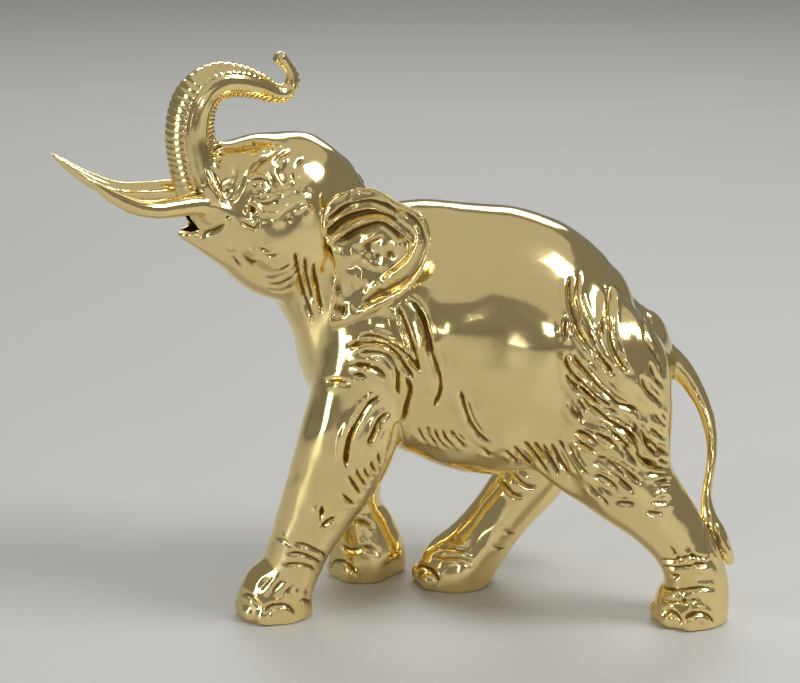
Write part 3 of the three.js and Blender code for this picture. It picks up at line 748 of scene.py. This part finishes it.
def relief(u, v, lines, dents):
    """The height of carved lines and dents at places (u, v)."""
    height = np.zeros(len(u))
    for rise, width, *path in lines:
        aside, strength = line_relief(u, v, path, width)
        height += abs(rise) * strength * (cut_fold(aside) if rise < 0 else raised_ridge(aside))
    for rise, radius, (a, b) in dents:
        height += rise * np.exp(-((u - a) ** 2 + (v - b) ** 2) / radius**2)
    return height


def beside(path, by):
    """A shorter line that runs beside another, to its left."""
    line = smooth_line([[a, b, 0] for a, b in path], 1.0)[:, :2]
    heading = unit(np.gradient(line, axis=0))
    trim = len(line) // 7
    line = (line + by * np.stack([-heading[:, 1], heading[:, 0]], 1))[trim : len(line) - trim]
    return [tuple(place) for place in line[np.linspace(0, len(line) - 1, len(path)).astype(int)]]


def inside(u, v, outline):
    """Which places (u, v) lie inside a closed outline."""
    within = np.zeros(len(u), bool)
    for (a, b), (c, d) in zip(outline, outline[1:] + outline[:1]):
        if b != d:
            within ^= ((b > v) != (d > v)) & (u < (c - a) * (v - b) / (d - b) + a)
    return within


def round_limb(points, stations, side):
    """Where points lie on a limb: how far along, the angle round it from its side, and 1 at the limb's own skin."""
    spacing = 1.0
    middle, size, along, across, through = spine_of(stations, side, spacing)
    run, angle, off = np.zeros(len(points)), np.zeros(len(points)), np.zeros(len(points))
    for some in np.array_split(np.arange(len(points)), len(points) // 20000 + 1):
        at = ((points[some, None] - middle) ** 2).sum(2).argmin(1)
        away = points[some] - middle[at]
        run[some] = at * spacing + (away * along[at]).sum(1)
        a, b = (away * across[at]).sum(1) / size[at, 0], (away * through[at]).sum(1) / size[at, 1]
        angle[some], off[some] = np.arctan2(b, a), np.hypot(a, b)
    return run, angle, off


def trunk_relief(run, angle, length):
    """Ribs across the front and back of the trunk, and a smooth band along each side between two grooves."""
    turned = np.pi / 2 - np.abs(np.abs(angle) - np.pi / 2)
    beat = run / RIB_SPACING
    groove = np.exp(-(((beat - np.round(beat)) / 0.2) ** 2))
    ribbed = smooth_step(turned, 0.5, 0.7) * smooth_step(run, 26, 34) * smooth_step(length - run, 9, 16)
    edges = np.exp(-(((turned - 0.5) / 0.09) ** 2)) * smooth_step(run, 20, 30) * smooth_step(length - run, 4, 10)
    middle_line = np.exp(-(((np.abs(angle) * np.sign(angle) - np.sign(angle) * 2.95) / 0.07) ** 2)) * smooth_step(run, 24, 32)
    slim = 0.45 + 0.55 * smooth_step(length - run, 20, 90)
    outer = np.sin(angle) * OUTER_FACE > 0
    return (ribbed * np.where(outer, 0.1 - 0.5 * groove, 0.3 - 1.4 * groove) - 0.6 * edges - 0.3 * middle_line) * slim


def unevenness(at):
    """The slow waviness that hand filing and polishing leave, in mm."""
    waves = 0
    for i, length in enumerate([31, 23, 19, 16, 13, 11]):
        way = unit(np.array([math.sin(2.1 * i + 1), math.cos(3.7 * i), math.sin(5.3 * i + 2)]))
        waves = waves + np.sin(at @ way * (2 * np.pi / length) + 1.7 * i + 0.6 * np.sin(at[:, 2] / 17 + i)) * length / 31
    return waves


def carve(skin):
    """Cuts the folds and wrinkles into the skin. Gives how deep each point was cut."""
    at, out = skin.points, skin.normals
    height = np.zeros(len(at))
    on_ear = np.zeros(len(at), bool)
    for ear in (NEAR_EAR, FAR_EAR):
        back, up, lift = ear.measure(at)
        sheet = np.flatnonzero((lift > -6) & (lift < 14) & inside(back, up, EAR_OUTLINE))
        on_ear[sheet] = True
        front = sheet[(out[sheet] @ ear.outward) > 0.1]
        height[front] += relief(back[front], up[front], EAR_LINES, EAR_DENTS) * smooth_step(out[front] @ ear.outward, 0.1, 0.5)
    for hand in (-1, 1):
        away = at - np.array([NECK_X, 0, 0])
        facing = out @ HEAD_SIDE * hand
        side = np.flatnonzero((facing > 0.05) & (away @ HEAD_SIDE * hand > 3) & (away @ HEAD_FRONT > 22) & (at[:, 2] > 200) & ~on_ear)
        height[side] += relief(away[side] @ HEAD_FRONT, at[side, 2], HEAD_LINES, HEAD_DENTS) * smooth_step(facing[side], 0.05, 0.35)
    body_lines = [[-1.8, 1.4, *path] for path in HAUNCH_LINES + BELLY_LINES + SHOULDER_LINES]
    body_lines += [[-1.1, 1.0, *beside(path, 3.0)] for path in HAUNCH_LINES + BELLY_LINES if len(path) > 2]
    body_lines += [[-0.9, 1.0, *beside(path, -2.8)] for path in SHOULDER_LINES if len(path) > 4]
    facing = -out[:, 1]
    side = np.flatnonzero((facing > 0.05) & (at[:, 1] < -2) & ~on_ear)
    height[side] += relief(at[side, 0], at[side, 2], body_lines + FOOT_LINES, []) * smooth_step(facing[side], 0.05, 0.3)
    side = np.flatnonzero((facing > 0.05) & (at[:, 1] > 2) & (at[:, 2] < 120) & ~on_ear)
    height[side] += relief(at[side, 0], at[side, 2], FAR_LEG_LINES, []) * smooth_step(facing[side], 0.05, 0.3)
    facing = out[:, 1]
    side = np.flatnonzero((facing > 0.05) & (at[:, 1] > 2) & ~on_ear)
    hind, front = np.array(HIND_STRIDE).T, np.array(FRONT_STRIDE).T
    stride = np.where(at[side, 0] > 60, np.interp(at[side, 2], *hind), np.interp(at[side, 2], *front))
    height[side] += 0.8 * relief(at[side, 0] + stride, at[side, 2], body_lines, []) * smooth_step(facing[side], 0.05, 0.3)
    trunk = np.flatnonzero((at[:, 2] > 262) & (at[:, 0] < -50))
    run, angle, off = round_limb(at[trunk], TRUNK, HEAD_SIDE)
    length = len(spine_of(TRUNK, HEAD_SIDE, 1.0)[0])
    height[trunk] += trunk_relief(run, angle, length) * smooth_step(1.25 - off, 0, 0.08)
    height = np.clip(height, -2.6, 2.6)
    side = np.flatnonzero((np.abs(out[:, 1]) > 0.02) & ~on_ear & (at[:, 2] > 70))
    height[side] += relief(at[side, 0], at[side, 2], [], FLANK_FORMS) * smooth_step(np.abs(out[side, 1]), 0.02, 0.5)
    smooth_flank = np.exp(-(((at[:, 0] - 70) / 42) ** 2)) * smooth_step(at[:, 2], 110, 150)
    height += unevenness(at) * (0.10 - 0.075 * smooth_flank)
    height *= smooth_step(at[:, 2], 0.2, 3)
    skin.points = at + out * height[:, None]
    skin.orient()
    return height


# ---- Casting


def skinned(skin, most_triangles):
    """The elephant as one Blender piece with at most that many triangles, lit by the full skin's own normals."""
    full = bpy.data.objects.new("full", as_mesh("full", skin.points, skin.faces))
    bpy.context.scene.collection.objects.link(full)
    thin = full.modifiers.new("thin", "DECIMATE")
    thin.ratio = min(1.0, most_triangles / (2 * len(skin.faces)))
    thin.use_collapse_triangulate = True
    thinned = bpy.data.meshes.new_from_object(full.evaluated_get(bpy.context.evaluated_depsgraph_get()))
    mesh = full.data
    bpy.data.objects.remove(full)
    bpy.data.meshes.remove(mesh)
    thinned.name = "cast_elephant"
    thinned.validate()
    piece = bpy.data.objects.new("cast_elephant", thinned)
    bpy.context.scene.collection.objects.link(piece)
    points = np.empty(len(thinned.vertices) * 3, np.float32)
    thinned.vertices.foreach_get("co", points)
    points = points.reshape(-1, 3).astype(float) / METRE - OWN_ORIGIN
    nearest = nearest_points(points, skin.points)
    thinned.polygons.foreach_set("use_smooth", np.ones(len(thinned.polygons), bool))
    thinned.normals_split_custom_set_from_vertices(skin.normals[nearest])
    return piece, nearest


def nearest_points(points, among):
    """For each point, the number of the nearest one among the others."""
    tree = KDTree(len(among))
    for i, at in enumerate(among):
        tree.insert(at, i)
    tree.balance()
    return np.array([tree.find(at)[1] for at in points])


wax = cast_wax()
skin = Skin(*wax.skin())
skin.relax(6)
skin = finer(skin)
carve(skin)
hollow = skin.hollows(10)
elephant, sources = skinned(skin, 198000)
elephant.data.attributes.new("hollow", "FLOAT", "POINT").data.foreach_set("value", np.clip(hollow[sources] / 0.5, -1, 1))

# ---- Finish


class Reading:
    """A value that varies over a surface. Sums with it add Math nodes."""

    def __init__(self, finish, socket):
        self.finish = finish
        self.socket = socket

    def _math(self, operation, *values):
        return self.finish.node("ShaderNodeMath", {"operation": operation}, dict(enumerate(values)))

    def __add__(self, other):
        return self._math("ADD", self, other)

    def __sub__(self, other):
        return self._math("SUBTRACT", self, other)

    def __rsub__(self, other):
        return self._math("SUBTRACT", other, self)

    def __mul__(self, other):
        return self._math("MULTIPLY", self, other)

    __radd__ = __add__
    __rmul__ = __mul__

    def held(self):
        """Kept between 0 and 1."""
        return self.finish.node("ShaderNodeMath", {"operation": "ADD", "use_clamp": True}, {0: self, 1: 0.0})


class Finish:
    """A material under the name of the finish it gives."""

    def __init__(self, name):
        self.material = bpy.data.materials.new(name)
        self.material.use_nodes = True
        self.tree = self.material.node_tree
        self.tree.nodes.clear()

    def node(self, kind, settings=None, sockets=None, output=0):
        """Adds a node: its settings first, then the values or links of its sockets. Gives one of its outputs."""
        made = self.tree.nodes.new(kind)
        for name, value in (settings or {}).items():
            if name == "stops":
                stops = made.color_ramp.elements
                for place, colour in value[2:]:
                    stops.new(place)
                for stop, (place, colour) in zip(stops, sorted(value)):
                    stop.position = place
                    stop.color = colour
            else:
                setattr(made, name, value)
        for name, value in (sockets or {}).items():
            if isinstance(value, Reading):
                self.tree.links.new(value.socket, made.inputs[name])
            else:
                made.inputs[name].default_value = value
        return Reading(self, made.outputs[output])

    def mix(self, share, one, other):
        """One colour passing into another."""
        return self.node("ShaderNodeMix", {"data_type": "RGBA"}, {0: share, 6: one, 7: other}, output=2)

    def done(self, **sockets):
        """Closes the material with a Principled shader."""
        shader = self.node("ShaderNodeBsdfPrincipled", None, {k.replace("_", " "): v for k, v in sockets.items()})
        end = self.tree.nodes.new("ShaderNodeOutputMaterial")
        self.tree.links.new(shader.socket, end.inputs["Surface"])
        return self.material


def polished_bronze():
    """Bright bronze, darkened in the hollows partly as patina that the polishing wheel missed and partly as painted
    shade where shade falls in the creases, and duller there.
    """
    finish = Finish("polished_bronze")
    hollow = finish.node("ShaderNodeAttribute", {"attribute_name": "hollow"}, output=2)
    place = finish.node("ShaderNodeTexCoord", output=3)
    cloud = finish.node("ShaderNodeTexNoise", None, {"Vector": place, "Scale": 38.0, "Detail": 4.0})
    grain = finish.node("ShaderNodeTexNoise", None, {"Vector": place, "Scale": 900.0, "Detail": 3.0})
    pits = finish.node("ShaderNodeTexVoronoi", None, {"Vector": place, "Scale": 260.0})
    # Share of dark brown in the hollows and carved grooves: partly patina, partly painted shade standing in for the
    # shade that falls in creases.
    patina_and_painted_shade = ((hollow + (cloud - 0.5) * 0.5 - 0.12) * 1.5).held()
    wear = ((cloud - 0.45) * 3.0).held()
    bright = finish.mix(wear, (0.97, 0.78, 0.37, 1), (0.93, 0.74, 0.33, 1))
    # The dark brown is patina and painted shade together, laid into the hollows.
    colour = finish.mix(patina_and_painted_shade, bright, (0.22, 0.145, 0.05, 1))
    roughness = patina_and_painted_shade * 0.22 + wear * 0.03 + 0.105
    pitted = ((0.14 - pits) * 9.0).held() * (hollow * 2.0 + 0.25).held()
    relief = finish.node("ShaderNodeBump", None, {"Strength": 0.25, "Distance": 0.0003, "Height": grain * 0.12 - pitted})
    return finish.done(Base_Color=colour, Metallic=1.0, Roughness=roughness, Normal=relief)


elephant.data.materials.clear()
elephant.data.materials.append(polished_bronze())
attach(elephant, "root")
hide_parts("elephant")

# ---- Floor, light and camera


def studio_floor():
    mesh = bpy.data.meshes.new("studio_floor")
    mesh.from_pydata([(-6, -6, 0), (6, -6, 0), (6, 6, 0), (-6, 6, 0)], [], [(0, 1, 2, 3)])
    floor = bpy.data.objects.new("studio_floor", mesh)
    bpy.context.scene.collection.objects.link(floor)
    finish = Finish("pale_floor")
    mesh.materials.append(finish.done(Base_Color=(0.60, 0.60, 0.59, 1), Roughness=0.5))


def soft_box(name, at, towards, size, brightness):
    """A soft box that looks at a point, as bright all over as its brightness says."""
    light = bpy.data.lights.new(name, "AREA")
    light.shape = "RECTANGLE"
    light.size, light.size_y = size
    light.energy = brightness * math.pi * size[0] * size[1]
    box = bpy.data.objects.new(name, light)
    box.location = at
    box.rotation_mode = "QUATERNION"
    box.rotation_quaternion = (Vector(towards) - Vector(at)).to_track_quat("-Z", "Y")
    bpy.context.scene.collection.objects.link(box)


def camera():
    lens = bpy.data.cameras.new("camera")
    lens.lens = 150
    lens.sensor_width = 36
    shot = bpy.data.objects.new("camera", lens)
    shot.location = (-0.0001, -1.8868, 0.7811)
    shot.rotation_euler = (math.radians(72), 0, 0)
    bpy.context.scene.collection.objects.link(shot)
    bpy.context.scene.camera = shot


studio_floor()
soft_box("ceiling", (0, -0.55, 1.5), (0, -0.55, 0), (2.8, 3.6), 0.27)
soft_box("behind", (0, 1.45, 0.95), (0, 0, 0.2), (1.6, 0.5), 3.0)
soft_box("left_strip", (-0.16, -1.65, 0.30), (0, 0, 0.18), (0.06, 0.45), 5.0)
soft_box("left", (-1.25, -0.70, 0.46), (0, 0, 0.15), (0.30, 0.9), 5.0)
soft_box("right_lamp", (0.50, -1.55, 0.62), (0, 0, 0.18), (0.20, 0.20), 9.0)
soft_box("right_high", (1.03, -0.28, 1.34), (0, 0, 0.1), (0.5, 0.5), 16.0)
soft_box("right_wall", (1.2, -1.9, 0.75), (0, 0, 0.18), (0.9, 1.0), 0.35)
camera()
world = bpy.data.worlds.new("studio")
world.use_nodes = True
world.node_tree.nodes["Background"].inputs["Color"].default_value = (0.20, 0.195, 0.18, 1)
bpy.context.scene.world = world
bpy.context.scene.view_settings.view_transform = "Standard"
